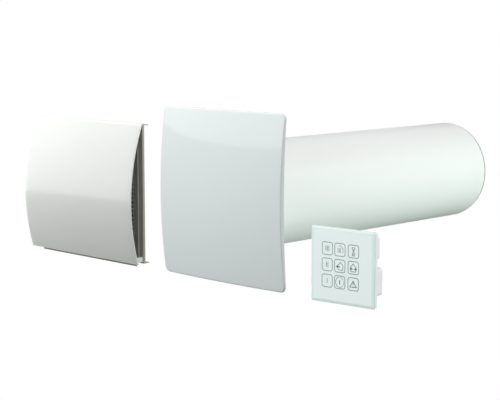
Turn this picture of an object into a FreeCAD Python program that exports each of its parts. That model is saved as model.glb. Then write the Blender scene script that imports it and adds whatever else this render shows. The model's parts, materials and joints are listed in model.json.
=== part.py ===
"""Through-wall room ventilator with heat recovery, outdoor hood and wall control.

Millimetres. The origin is on the duct's axis at the face of the room's wall.
+Y runs outdoors along the duct, +Z is up, and +X is to the right as seen from the room.
"""

import FreeCAD, Part

import math
import os

V = FreeCAD.Vector

# Driving dimensions, indoor unit
DUCT_R = 80.0
DUCT_WALL = 3.0
DUCT_LENGTH = 520.0
PANEL_WIDTH = 250.0
PANEL_HEIGHT = 253.2
PANEL_CENTRE_Z = 3.2
PANEL_CORNER_R = 9.0
PANEL_WALL = 2.7
PANEL_CENTRE_Y = -41.0
PANEL_BOW_VERTICAL = 10.0
PANEL_BOW_SIDEWAYS = 5.0
PANEL_RIM_Y = -29.0
PANEL_RIM_BOW = 5.5
PANEL_RIM_BOW_SIDEWAYS = 0.5
BASE_WIDTH = 190.0
BASE_HEIGHT = 212.0
BASE_THICKNESS = 4.0
SPIGOT_R = 75.0
SPIGOT_WALL = 2.5
SPIGOT_LENGTH = 40.0
COLLAR_R = 78.0
COLLAR_BORE_R = 74.5
COLLAR_DEPTH = 12.0
POST_X = 82.0
POST_Z = 94.0
POST_R = 6.0
POST_FRONT_Y = -20.0
SOCKET_FLOOR_Y = -5.0
PANEL_PIN_R = 3.0
PANEL_PIN_END_Y = -8.0
BOSS_END_Y = -24.8
RUNNING_GAP = 0.06
FIXING_X = 84.0
FIXING_Z = 50.0
FIXING_HOLE_R = 2.5
GROMMET_X = -76.0
GROMMET_Z = -72.0
GROMMET_R = 7.0
CABLE_R = 3.5
DUCT_RECESS_R = 82.0
DUCT_RECESS_DEPTH = 1.0

# Driving dimensions, electronics
ELECTRONICS_X = 60.0
ELECTRONICS_TOP = -80.0
ELECTRONICS_FOOT = -103.5
ELECTRONICS_FRONT = -19.0
ELECTRONICS_WALL = 1.6
LID_THICKNESS = 1.8
LID_SCREW_X = 54.0
LID_SCREW_Z = -92.0
LID_SCREW_R = 1.4
LID_SCREW_LENGTH = 9.8
LID_SCREW_HEAD_R = 2.8
LID_SCREW_HEAD_DEPTH = 1.8
LID_SCREW_SLOT = 0.7
BOARD_FRONT = -8.6
BOARD_BACK = -7.0
COMPONENT_FRONT = -16.5

# Driving dimensions, shutters
SHUTTER_AXIS_Y = -9.0
SHUTTER_R = 71.5
SHUTTER_NEAR = 1.8
SHUTTER_FAR = 3.4
SHUTTER_ROOT = 4.0
SHUTTER_PIN_R = 2.0
KNUCKLE_R = 3.4

# Driving dimensions, fan
FAN_Y = 70.0
FAN_DEPTH = 50.0
FAN_R = 76.6
FAN_BORE_R = 74.0
BLADE_COUNT = 7
BLADE_R = 72.5
HUB_R = 24.0
SHAFT_R = 2.0
BEARING_R = 5.5

# Driving dimensions, heat exchanger cartridge
CARTRIDGE_Y = 150.0
CARTRIDGE_END_Y = 402.0
CARTRIDGE_R = 76.2
CARTRIDGE_WALL = 2.0
FILTER_DEPTH = 18.0
CHANNEL_R = 5.4
CHANNEL_PITCH = 13.0

# Driving dimensions, outdoor hood, whose own frame starts at its plate's front
HOOD_X = -326.8
HOOD_Y = -13.4
HOOD_Z = -12.8
HOOD_WIDTH = 271.0
HOOD_HALF_HEIGHT = 110.6
HOOD_MIDDLE_Y = -24.5
HOOD_BOTTOM_Y = -11.0
HOOD_SHEET = 1.5
HOOD_DEPTH = 13.4
HOOD_TOP_Z = 109.0
HOOD_FOOT_Z = -110.0
HOOD_SPIGOT_END = 45.0
FLANGE_BACK_Y = 3.7
HOOD_SCREW_R = 2.5
HOOD_SCREW_X = 100.0
HOOD_SCREW_Z = (-104.0, 103.0)
LIP_HEIGHT = 12.0
LIP_HALF = 115.0
RIVET_R = 1.6
RIVET_COUNT = 6
RIVET_CIRCLE_R = 81.0
GRILLE_X = 115.0
SLOT_PITCH = 7.0
DRIP_HALF = 119.5
DRIP_END_Z = -116.0
BRACKET_X = 133.0
BRACKET_SHEET = 1.2
BRACKET_Z = (-107.5, -99.5)

# Driving dimensions, wall control, whose own frame starts at its glass front
CONTROL_POSITION = V(396.8, -219.6, -25.2)
CONTROL_YAW = 5.4
CONTROL_SIZE = 90.0
GLASS_DEPTH = 3.0
FRAME_DEPTH = 4.5
CONTROL_SCREW_X = 30.0
CONTROL_SCREW_R = 1.8
CONTROL_NOTCH_Z = 3.0
BOX_RECESS_SIZE = 74.0
BOX_RECESS_DEPTH = 0.3
SCREW_LAND = 1.1
HOUSING_HALF = 32.0
HOUSING_WALL = 1.6
UPPER_BACK_Y = 30.0
LOWER_BACK_Y = 36.5
HOUSING_TOP_Z = 36.0
HOUSING_FOOT_Z = -35.5
HOUSING_START = GLASS_DEPTH + FRAME_DEPTH - BOX_RECESS_DEPTH

NODES = {}


def box(x0, x1, y0, y1, z0, z1):
    return Part.makeBox(x1 - x0, y1 - y0, z1 - z0, V(x0, y0, z0))


def rod_y(radius, y0, y1, x=0.0, z=0.0):
    return Part.makeCylinder(radius, y1 - y0, V(x, y0, z), V(0, 1, 0))


def ring_y(outer, inner, y0, y1, x=0.0, z=0.0):
    return rod_y(outer, y0, y1, x, z).cut(rod_y(inner, y0 - 1, y1 + 1, x, z))


def rod_x(radius, x0, x1, y=0.0, z=0.0):
    return Part.makeCylinder(radius, x1 - x0, V(x0, y, z), V(1, 0, 0))


def rod_z(radius, z0, z1, x=0.0, y=0.0):
    return Part.makeCylinder(radius, z1 - z0, V(x, y, z0), V(0, 0, 1))


def fuse(shapes):
    whole = shapes[0]
    if len(shapes) > 1:
        whole = shapes[0].multiFuse(shapes[1:])
    return whole.removeSplitter()


def at_corners(x, z, make):
    return [make(side * x, level * z) for side in (-1, 1) for level in (-1, 1)]


def turned(shape, angle, axis=V(0, 1, 0), about=V(0, 0, 0)):
    copy = shape.copy()
    copy.rotate(about, axis, angle)
    return copy


def rounded_slab(width, height, radius, y0, y1, z=0.0):
    """A slab along Y whose outline in XZ is a rectangle with round corners."""
    slab = box(-width / 2, width / 2, y0, y1, z - height / 2, z + height / 2)
    upright = [e for e in slab.Edges if abs(e.tangentAt(e.FirstParameter).y) > 0.99]
    return slab.makeFillet(radius, upright)


def add(name, *shapes):
    NODES[name] = shapes[0] if len(shapes) == 1 else Part.makeCompound(list(shapes))


def circle_radius(chord, bow):
    return (chord * chord / 4 + bow * bow) / (2 * bow)


# ---------------------------------------------------------------- front panel

def bowed_block(front_y, bow_vertical, bow_sideways, back_y):
    """A block from a doubly bowed front face back to a flat one."""
    reach = PANEL_WIDTH / 2 + 5
    rise = circle_radius(PANEL_WIDTH, bow_sideways)
    edge_y = front_y + rise - math.sqrt(rise * rise - reach * reach)
    front = Part.Arc(V(-reach, edge_y, 0), V(0, front_y, 0), V(reach, edge_y, 0)).toShape()
    corners = [V(reach, edge_y, 0), V(reach, back_y, 0), V(-reach, back_y, 0), V(-reach, edge_y, 0)]
    sides = Part.makePolygon(corners)
    profile = Part.Face(Part.Wire([front] + sides.Edges))
    pivot = V(0, front_y + circle_radius(PANEL_HEIGHT, bow_vertical), 0)
    sweep = 24.0
    profile.rotate(pivot, V(1, 0, 0), -sweep / 2)
    block = profile.revolve(pivot, V(1, 0, 0), sweep)
    block.translate(V(0, 0, PANEL_CENTRE_Z))
    return block


def front_panel():
    """A shell with its rim turned back, and a pin on a boss behind each corner."""
    back_y = 0.0
    front_y = PANEL_CENTRE_Y - 5
    inner_width = PANEL_WIDTH - 2 * PANEL_WALL
    inner_height = PANEL_HEIGHT - 2 * PANEL_WALL
    inner_corner = PANEL_CORNER_R - PANEL_WALL
    outline = rounded_slab(PANEL_WIDTH, PANEL_HEIGHT, PANEL_CORNER_R, front_y, back_y, PANEL_CENTRE_Z)
    hollow = rounded_slab(inner_width, inner_height, inner_corner, front_y, back_y + 5, PANEL_CENTRE_Z)
    skin = bowed_block(PANEL_CENTRE_Y, PANEL_BOW_VERTICAL, PANEL_BOW_SIDEWAYS, back_y)
    inside = bowed_block(PANEL_CENTRE_Y + PANEL_WALL, PANEL_BOW_VERTICAL, PANEL_BOW_SIDEWAYS, back_y + 5)
    behind_rim = bowed_block(PANEL_RIM_Y, PANEL_RIM_BOW, PANEL_RIM_BOW_SIDEWAYS, back_y + 5)
    shell = skin.common(outline).cut(inside.common(hollow)).cut(behind_rim)

    def stem(x, z):
        boss = rod_y(POST_R, PANEL_CENTRE_Y + 1, BOSS_END_Y, x, z)
        pin = rod_y(PANEL_PIN_R, PANEL_CENTRE_Y + 1, PANEL_PIN_END_Y, x, z)
        return fuse([boss, pin]).common(skin)

    return fuse([shell] + at_corners(POST_X, POST_Z, stem))


# ------------------------------------------------------------------ base plate

def base_plate():
    """A flat plate with the air hole, recessed behind where the duct ends."""
    plate = rounded_slab(BASE_WIDTH, BASE_HEIGHT, 12.0, -BASE_THICKNESS, 0)
    fixings = at_corners(FIXING_X, FIXING_Z, lambda x, z: rod_y(FIXING_HOLE_R, -9, 1, x, z))
    bore = rod_y(SPIGOT_R - SPIGOT_WALL, -9, 1)
    recess = rod_y(DUCT_RECESS_R, -DUCT_RECESS_DEPTH, 1)
    cable_hole = rod_y(GROMMET_R, -9, 1, GROMMET_X, GROMMET_Z)
    return plate.cut(fixings + [bore, recess, cable_hole])


def base_collar():
    """The ring in front of the air hole, with the bearings of the shutters' pin."""
    ring = ring_y(COLLAR_R, COLLAR_BORE_R, -BASE_THICKNESS - COLLAR_DEPTH, -BASE_THICKNESS)
    top_bearing = rod_z(KNUCKLE_R + 0.05, 70, 80, 0, SHUTTER_AXIS_Y)
    foot_bearing = rod_z(SHUTTER_PIN_R + 0.05, -80, -70, 0, SHUTTER_AXIS_Y)
    return ring.cut([top_bearing, foot_bearing])


def panel_sockets():
    """Four posts on the base plate that the panel's pins push into."""
    def socket(x, z):
        post = rod_y(POST_R, POST_FRONT_Y, -BASE_THICKNESS, x, z)
        return post.cut(rod_y(PANEL_PIN_R + RUNNING_GAP, POST_FRONT_Y - 1, SOCKET_FLOOR_Y, x, z))

    return at_corners(POST_X, POST_Z, socket)


def cable_grommet():
    body = fuse([
        rod_y(GROMMET_R - 0.1, -6, 2, GROMMET_X, GROMMET_Z),
        rod_y(GROMMET_R + 2, -6.5, -BASE_THICKNESS, GROMMET_X, GROMMET_Z),
    ])
    return body.cut(rod_y(CABLE_R, -8, 3, GROMMET_X, GROMMET_Z))


# -------------------------------------------------------------------- shutters

def shutter_knuckles(first, inner_radius):
    """Every second length of the hinge's barrel, between the collar's bearings."""
    pitch = 16.0
    length = 15.6
    pieces = []
    for step in range(first, 8, 2):
        low = -64.0 + pitch * step
        pieces.append(rod_z(KNUCKLE_R, low, low + length, 0, SHUTTER_AXIS_Y))
    if inner_radius:
        pin = rod_z(inner_radius, -90, 90, 0, SHUTTER_AXIS_Y)
        pieces = [piece.cut(pin) for piece in pieces]
    return pieces


def shutter_leaf(side, knuckles):
    """A half disc beside the pin, with arms that join it to its own knuckles."""
    disc = rod_x(SHUTTER_R, SHUTTER_NEAR, SHUTTER_FAR, SHUTTER_AXIS_Y, 0)
    keep = box(0, 10, SHUTTER_AXIS_Y + SHUTTER_ROOT, SHUTTER_AXIS_Y + 100, -100, 100)
    leaf = disc.common(keep)
    rib = box(SHUTTER_FAR, SHUTTER_FAR + 2, SHUTTER_AXIS_Y + 12, SHUTTER_AXIS_Y + 50, -0.8, 0.8)
    parts = [leaf, rib]
    for knuckle in knuckles:
        low = knuckle.BoundBox.ZMin
        high = min(knuckle.BoundBox.ZMax, 64.0)
        arm_end = SHUTTER_AXIS_Y + SHUTTER_ROOT + 1
        parts.append(box(SHUTTER_NEAR + 0.35, SHUTTER_FAR, SHUTTER_AXIS_Y, arm_end, low, high))
    arms = fuse(parts)
    if side < 0:
        arms = arms.mirror(V(0, 0, 0), V(1, 0, 0))
    return arms


def shutters():
    pin_hole = rod_z(SHUTTER_PIN_R + RUNNING_GAP, -90, 95, 0, SHUTTER_AXIS_Y)
    left_knuckles = shutter_knuckles(0, 0)
    pin = rod_z(SHUTTER_PIN_R, -77, 90, 0, SHUTTER_AXIS_Y)
    left = fuse([shutter_leaf(-1, left_knuckles), pin] + left_knuckles)
    right_knuckles = shutter_knuckles(1, SHUTTER_PIN_R + RUNNING_GAP)
    sleeve = rod_z(KNUCKLE_R, 60, 84, 0, SHUTTER_AXIS_Y)
    right = fuse([shutter_leaf(1, right_knuckles)] + right_knuckles + [sleeve]).cut(pin_hole)
    add("shutter_left", left)
    add("shutter_right", right)


def shutter_actuator():
    body = rounded_block(-22, 22, -22, -BASE_THICKNESS, 80.5, 104, 2.0)
    sleeve_pocket = rod_z(KNUCKLE_R + 0.05, 80, 86, 0, SHUTTER_AXIS_Y)
    pin_pocket = rod_z(SHUTTER_PIN_R + 0.05, 80, 92, 0, SHUTTER_AXIS_Y)
    return body.cut([sleeve_pocket, pin_pocket])


def rounded_block(x0, x1, y0, y1, z0, z1, radius):
    """A block whose four edges along Y are rounded."""
    block = box(x0, x1, y0, y1, z0, z1)
    edges = [e for e in block.Edges if abs(e.tangentAt(e.FirstParameter).y) > 0.99]
    return block.makeFillet(radius, edges)


# ------------------------------------------------------------------------- fan

def finger_guard():
    """Concentric rings on four spokes, in front of the fan."""
    rings = [ring_y(r + 1, r - 1, FAN_Y - 4, FAN_Y - 1.5) for r in (18, 32, 46, 60)]
    rim = ring_y(FAN_R - 0.4, FAN_BORE_R - 1.5, FAN_Y - 4, FAN_Y)
    spoke = box(17, FAN_BORE_R, FAN_Y - 3.6, FAN_Y - 1.6, -1.2, 1.2)
    spokes = [turned(spoke, 45 + 90 * i) for i in range(4)]
    return fuse([rim] + rings + spokes)


def fan_housing():
    """The ring, the motor's seat on five stator arms, and the bearing tube."""
    back = FAN_Y + FAN_DEPTH
    ring = ring_y(FAN_R, FAN_BORE_R, FAN_Y, back)
    seat = rod_y(HUB_R, FAN_Y + 35, FAN_Y + 39)
    tube = rod_y(BEARING_R + 1.5, FAN_Y + 15, FAN_Y + 36)
    arm = box(HUB_R - 2, FAN_BORE_R + 1, FAN_Y + 36, FAN_Y + 48, -1.0, 1.0)
    arm = turned(arm, 18, V(1, 0, 0), V(0, FAN_Y + 42, 0))
    arms = [turned(arm, 72 * i) for i in range(5)]
    cup = ring_y(HUB_R, HUB_R - 2, FAN_Y + 38, FAN_Y + 48)
    body = fuse([ring, seat, tube, cup] + arms)
    bearing_bore = rod_y(BEARING_R, FAN_Y + 10, FAN_Y + 34.5)
    shaft_hole = rod_y(SHAFT_R + 0.4, FAN_Y + 30, FAN_Y + 45)
    return body.cut([bearing_bore, shaft_hole])


def bearings():
    return [ring_y(BEARING_R, SHAFT_R + 0.04, y, y + 4) for y in (FAN_Y + 16, FAN_Y + 30)]


def stator():
    """The coil core's sleeve on the bearing tube, with six wound poles."""
    sleeve = ring_y(10.5, BEARING_R + 1.5, FAN_Y + 17, FAN_Y + 31)
    pole = box(9, 16.5, FAN_Y + 18, FAN_Y + 30, -3, 3)
    return fuse([sleeve] + [turned(pole, 60 * i) for i in range(6)])


def blade_section(radius, chord, pitch, camber):
    """A thin curved blade section on a plane across the X axis."""
    half = chord / 2
    lean = math.radians(pitch)

    def point(along, off):
        y = along * math.sin(lean) + off * math.cos(lean)
        z = along * math.cos(lean) - off * math.sin(lean)
        return V(radius, FAN_Y + 20 + y, z)

    thick = 0.9
    front = Part.Arc(point(-half, 0), point(0, camber + thick), point(half, 0)).toShape()
    back = Part.Arc(point(half, 0), point(0, camber - thick), point(-half, 0)).toShape()
    return Part.Wire([front, back])


def impeller():
    root = blade_section(HUB_R - 4, 22, 42, 2.5)
    middle = blade_section(48, 32, 34, 3.5)
    tip = blade_section(BLADE_R + 3, 40, 26, 4.0)
    blade = Part.makeLoft([root, middle, tip], True, False)
    blade = blade.common(rod_y(BLADE_R, FAN_Y, FAN_Y + 40))
    cup = rod_y(HUB_R, FAN_Y + 6, FAN_Y + 34)
    cup = cup.makeFillet(4.0, [e for e in cup.Edges if abs(e.BoundBox.YMax - FAN_Y - 6) < 0.01])
    blades = [turned(blade, 360.0 / BLADE_COUNT * i) for i in range(BLADE_COUNT)]
    body = fuse([cup] + blades)
    boss = rod_y(5.0, FAN_Y + 8, FAN_Y + 14)
    body = body.cut(rod_y(HUB_R - 2, FAN_Y + 9, FAN_Y + 40))
    return fuse([body, boss]).cut(rod_y(SHAFT_R, FAN_Y + 7.5, FAN_Y + 40))


def flow_straightener():
    """A ring of straight vanes that takes the swirl out of the air."""
    start = FAN_Y + FAN_DEPTH + 2
    ring = ring_y(FAN_R - 0.4, FAN_BORE_R - 1, start, start + 18)
    core = ring_y(20, 18, start, start + 18)
    vane = box(19, FAN_BORE_R, start + 1, start + 17, -0.8, 0.8)
    return fuse([ring, core] + [turned(vane, 40 * i) for i in range(9)])


# ------------------------------------------------------------------- cartridge

def cartridge_shell():
    inner = CARTRIDGE_R - CARTRIDGE_WALL
    tube = ring_y(CARTRIDGE_R, inner, CARTRIDGE_Y, CARTRIDGE_END_Y - 6)
    front_rim = ring_y(inner + 1, inner - 4, CARTRIDGE_Y, CARTRIDGE_Y + 2)
    grips = [box(-26, 26, CARTRIDGE_Y, CARTRIDGE_Y + 2, level - 2, level + 2) for level in (-34, 34)]
    bars = [box(side * 24 - 2, side * 24 + 2, CARTRIDGE_Y, CARTRIDGE_Y + 2, -71, 71) for side in (-1, 1)]
    return fuse([tube, front_rim] + grips + bars)


def filter_disc(y0):
    return rod_y(CARTRIDGE_R - CARTRIDGE_WALL - 0.3, y0, y0 + FILTER_DEPTH)


def regenerator():
    """A ceramic block with straight air channels on a triangular grid."""
    outer = CARTRIDGE_R - CARTRIDGE_WALL - 0.8
    low = CARTRIDGE_Y + FILTER_DEPTH + 4
    high = CARTRIDGE_END_Y - 8 - FILTER_DEPTH - 2
    block = rod_y(outer, low, high)
    channels = []
    row_rise = CHANNEL_PITCH * math.sqrt(3) / 2
    for row in range(-6, 7):
        for column in range(-6, 7):
            x = CHANNEL_PITCH * (column + 0.5 * (row % 2))
            z = row_rise * row
            if math.hypot(x, z) < outer - CHANNEL_R - 2:
                channels.append(rod_y(CHANNEL_R, low - 1, high + 1, x, z))
    return block.cut(channels)


def end_grille():
    """The outdoor end's ring, with crossed bars that hold the filter in."""
    rim = ring_y(CARTRIDGE_R, CARTRIDGE_R - 6, CARTRIDGE_END_Y - 6, CARTRIDGE_END_Y)
    reach = CARTRIDGE_R - 3
    bars = []
    for step in range(-3, 4):
        across = 20.0 * step
        half = math.sqrt(reach * reach - across * across)
        bars.append(box(-half, half, CARTRIDGE_END_Y - 4, CARTRIDGE_END_Y - 1, across - 1, across + 1))
        bars.append(box(across - 1, across + 1, CARTRIDGE_END_Y - 4, CARTRIDGE_END_Y - 1, -half, half))
    return fuse([rim] + bars)


# ----------------------------------------------------------------- electronics

def electronics_block(y0, y1, inset=0.0):
    side = ELECTRONICS_X - inset
    corner = 2.0 - inset / 2
    return rounded_block(-side, side, y0, y1, ELECTRONICS_FOOT + inset, ELECTRONICS_TOP - inset, corner)


def electronics_box():
    """An open tray with a hole in its side for the mains cable's cores."""
    block = electronics_block(ELECTRONICS_FRONT, -BASE_THICKNESS)
    room = electronics_block(ELECTRONICS_FRONT - 1, -BASE_THICKNESS - ELECTRONICS_WALL, ELECTRONICS_WALL)
    cable_hole = rod_x(3.0, -ELECTRONICS_X - 1, -ELECTRONICS_X + 3, -12.0, -90.0)
    return block.cut([room, cable_hole])


def electronics_lid():
    lid = electronics_block(ELECTRONICS_FRONT - LID_THICKNESS, ELECTRONICS_FRONT)
    holes = [rod_y(LID_SCREW_R + 0.2, -30, 0, side * LID_SCREW_X, LID_SCREW_Z) for side in (-1, 1)]
    return lid.cut(holes)


def lid_screws():
    screws = []
    lid_front = ELECTRONICS_FRONT - LID_THICKNESS
    head_front = lid_front - LID_SCREW_HEAD_DEPTH
    half_slot = LID_SCREW_SLOT / 2
    for side in (-1, 1):
        x = side * LID_SCREW_X
        head = rod_y(LID_SCREW_HEAD_R, head_front, lid_front, x, LID_SCREW_Z)
        shank = rod_y(LID_SCREW_R, lid_front - 0.2, lid_front + LID_SCREW_LENGTH, x, LID_SCREW_Z)
        slot_z = (LID_SCREW_Z - half_slot, LID_SCREW_Z + half_slot)
        slot = box(x - 3, x + 3, head_front - 1, head_front + LID_SCREW_SLOT, *slot_z)
        screws.append(fuse([head, shank]).cut(slot))
    return screws


def control_board():
    """The circuit board with its capacitor, coil, relay and controller chip in front."""
    seat = BOARD_FRONT + 0.6
    board = box(-48, 50, BOARD_FRONT, BOARD_BACK, -101, -82.5)
    capacitor = rod_z(4.5, -100, -84, -30, -13.0)
    coil = box(-20, -6, COMPONENT_FRONT + 0.5, seat, -99, -85)
    relay = box(0, 15, COMPONENT_FRONT, seat, -98, -86)
    chip = box(20, 28, BOARD_FRONT - 1.4, seat, -96, -88)
    behind_board = box(-40, -20, seat, 0, -110, -80)
    return fuse([board, capacitor.cut(behind_board), coil, relay, chip])


def terminal_block():
    """Three screw terminals for the mains cable's cores."""
    body = box(33, 47, COMPONENT_FRONT - 1, BOARD_FRONT, -100.5, -84)
    entries = [rod_y(1.4, COMPONENT_FRONT - 2.5, COMPONENT_FRONT + 4.5, x, -92) for x in (35.6, 40.0, 44.4)]
    return body.cut(entries)


def humidity_sensor():
    body = rounded_block(-78, -60, -10, -BASE_THICKNESS, 66, 80, 2.0)
    slots = [box(-75, -63, -11, -8.5, z, z + 1.2) for z in (69.0, 72.4, 75.8)]
    return body.cut(slots)


# ---------------------------------------------------------------- outdoor hood

def cover_curve():
    """The circle whose arc is the cover's profile, from its top edge to its bottom edge."""
    top = V(0, 0, HOOD_HALF_HEIGHT)
    middle = V(0, HOOD_MIDDLE_Y, 0)
    foot = V(0, HOOD_BOTTOM_Y, -HOOD_HALF_HEIGHT)
    return Part.Circle(top, middle, foot)


def hood_arc(setback, half_width, depth_y):
    """A block behind the cover's curve, set back from its face, out to a flat back."""
    curve = cover_curve()
    radius = curve.Radius - setback
    centre = curve.Center
    drum = Part.makeCylinder(radius, 2 * half_width, V(-half_width, centre.y, centre.z), V(1, 0, 0))
    limit = box(-half_width, half_width, HOOD_MIDDLE_Y - 5, depth_y, -HOOD_HALF_HEIGHT, HOOD_HALF_HEIGHT)
    return drum.common(limit)


def hood_cover():
    """The bowed front sheet, with a hook along its top that hangs on the plate."""
    half = HOOD_WIDTH / 2
    outer = hood_arc(0, half, 0)
    inner = hood_arc(HOOD_SHEET, half + 1, 5)
    sheet = outer.cut(inner)
    hook = box(-half, half, -1.0, 4.0, HOOD_HALF_HEIGHT - HOOD_SHEET, HOOD_HALF_HEIGHT)
    return fuse([sheet, hook])


def hood_back_plate():
    """A sheet tray: front plate, top and bottom flanges, and lips against the wall."""
    half = HOOD_WIDTH / 2 - 0.5
    front = 1.0
    sheet = HOOD_SHEET
    plate = box(-half, half, front, front + sheet, HOOD_FOOT_Z, HOOD_TOP_Z)
    top = box(-half, half, front, HOOD_DEPTH, HOOD_TOP_Z - sheet, HOOD_TOP_Z)
    foot = box(-half, half, front, HOOD_DEPTH, HOOD_FOOT_Z, HOOD_FOOT_Z + sheet)
    lip_y = HOOD_DEPTH - sheet
    top_lip = box(-LIP_HALF, LIP_HALF, lip_y, HOOD_DEPTH, HOOD_TOP_Z - LIP_HEIGHT, HOOD_TOP_Z)
    foot_lip = box(-LIP_HALF, LIP_HALF, lip_y, HOOD_DEPTH, HOOD_FOOT_Z, HOOD_FOOT_Z + LIP_HEIGHT)
    body = [plate, top, foot, top_lip, foot_lip]
    screws = []
    for side in (-1, 1):
        hem_x = side * (half - 0.6)
        rib_x = side * 124.0
        body.append(box(hem_x - 0.6, hem_x + 0.6, front, front + 4, HOOD_FOOT_Z, HOOD_TOP_Z))
        rib = box(rib_x - 0.7, rib_x + 0.7, front - 1.2, front + 0.2, HOOD_FOOT_Z + 8, HOOD_TOP_Z - 8)
        body.append(rib)
        for level in HOOD_SCREW_Z:
            screws.append(rod_y(HOOD_SCREW_R, 0, HOOD_DEPTH + 1, side * HOOD_SCREW_X, level))
    air_hole = rod_y(SPIGOT_R - 1, 0, HOOD_DEPTH)
    rivets = [rod_y(RIVET_R, 0, 5, *rivet_place(i)) for i in range(RIVET_COUNT)]
    return fuse(body).cut([air_hole] + screws + rivets)


def rivet_place(index):
    angle = math.radians(30 + 60 * index)
    return RIVET_CIRCLE_R * math.cos(angle), RIVET_CIRCLE_R * math.sin(angle)


def spigot_flange():
    """The ring that is riveted to the plate and carries the spigot."""
    flange = ring_y(SPIGOT_R + 11, SPIGOT_R - 1, 2.5, FLANGE_BACK_Y)
    return flange.cut([rod_y(RIVET_R, 0, 5, *rivet_place(i)) for i in range(RIVET_COUNT)])


def hood_spigot():
    return ring_y(SPIGOT_R, SPIGOT_R - 1, FLANGE_BACK_Y, HOOD_SPIGOT_END)


def hood_rivets():
    rivets = []
    for index in range(RIVET_COUNT):
        x, z = rivet_place(index)
        shank = rod_y(RIVET_R, 0.6, 4.2, x, z)
        rivets.append(fuse([shank, rod_y(3.0, 0.2, 1.0, x, z), rod_y(2.6, 3.7, 4.6, x, z)]))
    return rivets


def hood_side_grilles():
    """Upright slotted sheets between the plate and the cover, one near each side."""
    grilles = []
    behind_cover = hood_arc(HOOD_SHEET + 0.05, GRILLE_X + 5, 1.0)
    tall = box(-GRILLE_X - 5, GRILLE_X + 5, -40, 1.0, HOOD_FOOT_Z + 6.3, HOOD_TOP_Z - 8)
    for side in (-1, 1):
        x0 = side * GRILLE_X - 0.6
        wall = box(x0, x0 + 1.2, HOOD_MIDDLE_Y, 1.0, HOOD_FOOT_Z + 6.3, HOOD_TOP_Z - 8)
        inner_x, outer_x = sorted((side * (GRILLE_X - 9), side * GRILLE_X))
        foot = box(inner_x, outer_x, -0.2, 1.0, HOOD_FOOT_Z + 8, HOOD_TOP_Z - 12)
        body = fuse([wall, foot]).common(behind_cover).common(tall)
        slots = []
        for step in range(-12, 13):
            z = step * SLOT_PITCH
            depth = slot_depth(z)
            if depth > 4:
                slots.append(box(x0 - 1, x0 + 2.2, -depth, -2.5, z - 2.0, z + 2.0))
        grilles.append(body.cut(slots))
    return grilles


def slot_depth(level):
    """How far forward a slot may reach at a height, two millimetres short of the cover."""
    curve = cover_curve()
    rise = level - curve.Center.z
    return math.sqrt(curve.Radius ** 2 - rise * rise) - curve.Center.y - HOOD_SHEET - 2.5


def drip_lip():
    """A strip on the plate's foot that hangs below the cover and sheds rain clear of the wall."""
    return box(-DRIP_HALF, DRIP_HALF, -0.2, 1.0, DRIP_END_Z, HOOD_FOOT_Z + 6)


def cover_brackets():
    """Upright side plates, tabbed front and back, that carry the cover's lower corners."""
    brackets = []
    low, high = BRACKET_Z
    behind_cover = hood_arc(HOOD_SHEET + 0.05, HOOD_WIDTH / 2, 1.0)
    front_tab = behind_cover.cut(hood_arc(HOOD_SHEET + 0.05 + BRACKET_SHEET, HOOD_WIDTH / 2, 5.0))
    for side in (-1, 1):
        plate_x = sorted((side * (BRACKET_X - BRACKET_SHEET), side * BRACKET_X))
        tab_x = sorted((side * (BRACKET_X - 8), side * BRACKET_X))
        plate = box(*plate_x, HOOD_MIDDLE_Y, 1.0, low, high)
        root = box(*tab_x, 1.0 - BRACKET_SHEET, 1.0, low, high)
        tab = box(*tab_x, HOOD_MIDDLE_Y, 1.0, low, high).common(front_tab)
        brackets.append(fuse([plate.common(behind_cover), root, tab]))
    return brackets


def hood_gasket():
    return ring_y(91.5, 87, 2.6, HOOD_DEPTH)


# ---------------------------------------------------------------- wall control

def control_glass():
    glass = rounded_slab(CONTROL_SIZE, CONTROL_SIZE, 2.0, 0, GLASS_DEPTH)
    rim = [e for e in glass.Edges if e.BoundBox.YMax < 0.01]
    return glass.makeChamfer(0.7, rim)


def control_frame():
    size = CONTROL_SIZE - 1.4
    back = GLASS_DEPTH + FRAME_DEPTH
    frame = rounded_slab(size, size, 1.6, GLASS_DEPTH, back)
    room = rounded_slab(size - 4, size - 4, 1.0, GLASS_DEPTH - 1, HOUSING_START - SCREW_LAND)
    recess = rounded_slab(BOX_RECESS_SIZE, BOX_RECESS_SIZE, 3.0, HOUSING_START, back + 1)
    window = box(-26, 26, GLASS_DEPTH, back + 1, -26, 26)
    sides = (-CONTROL_SCREW_X, CONTROL_SCREW_X)
    screws = [rod_y(CONTROL_SCREW_R, GLASS_DEPTH, back + 1, x, CONTROL_NOTCH_Z) for x in sides]
    return frame.cut([room, recess, window] + screws)


def touch_board():
    board = box(-39, 39, GLASS_DEPTH + 0.1, GLASS_DEPTH + 1.1, -39, 39)
    clear = [rod_y(4, 0, 10, s * CONTROL_SCREW_X, CONTROL_NOTCH_Z) for s in (-1, 1)]
    return board.cut(clear)


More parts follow.
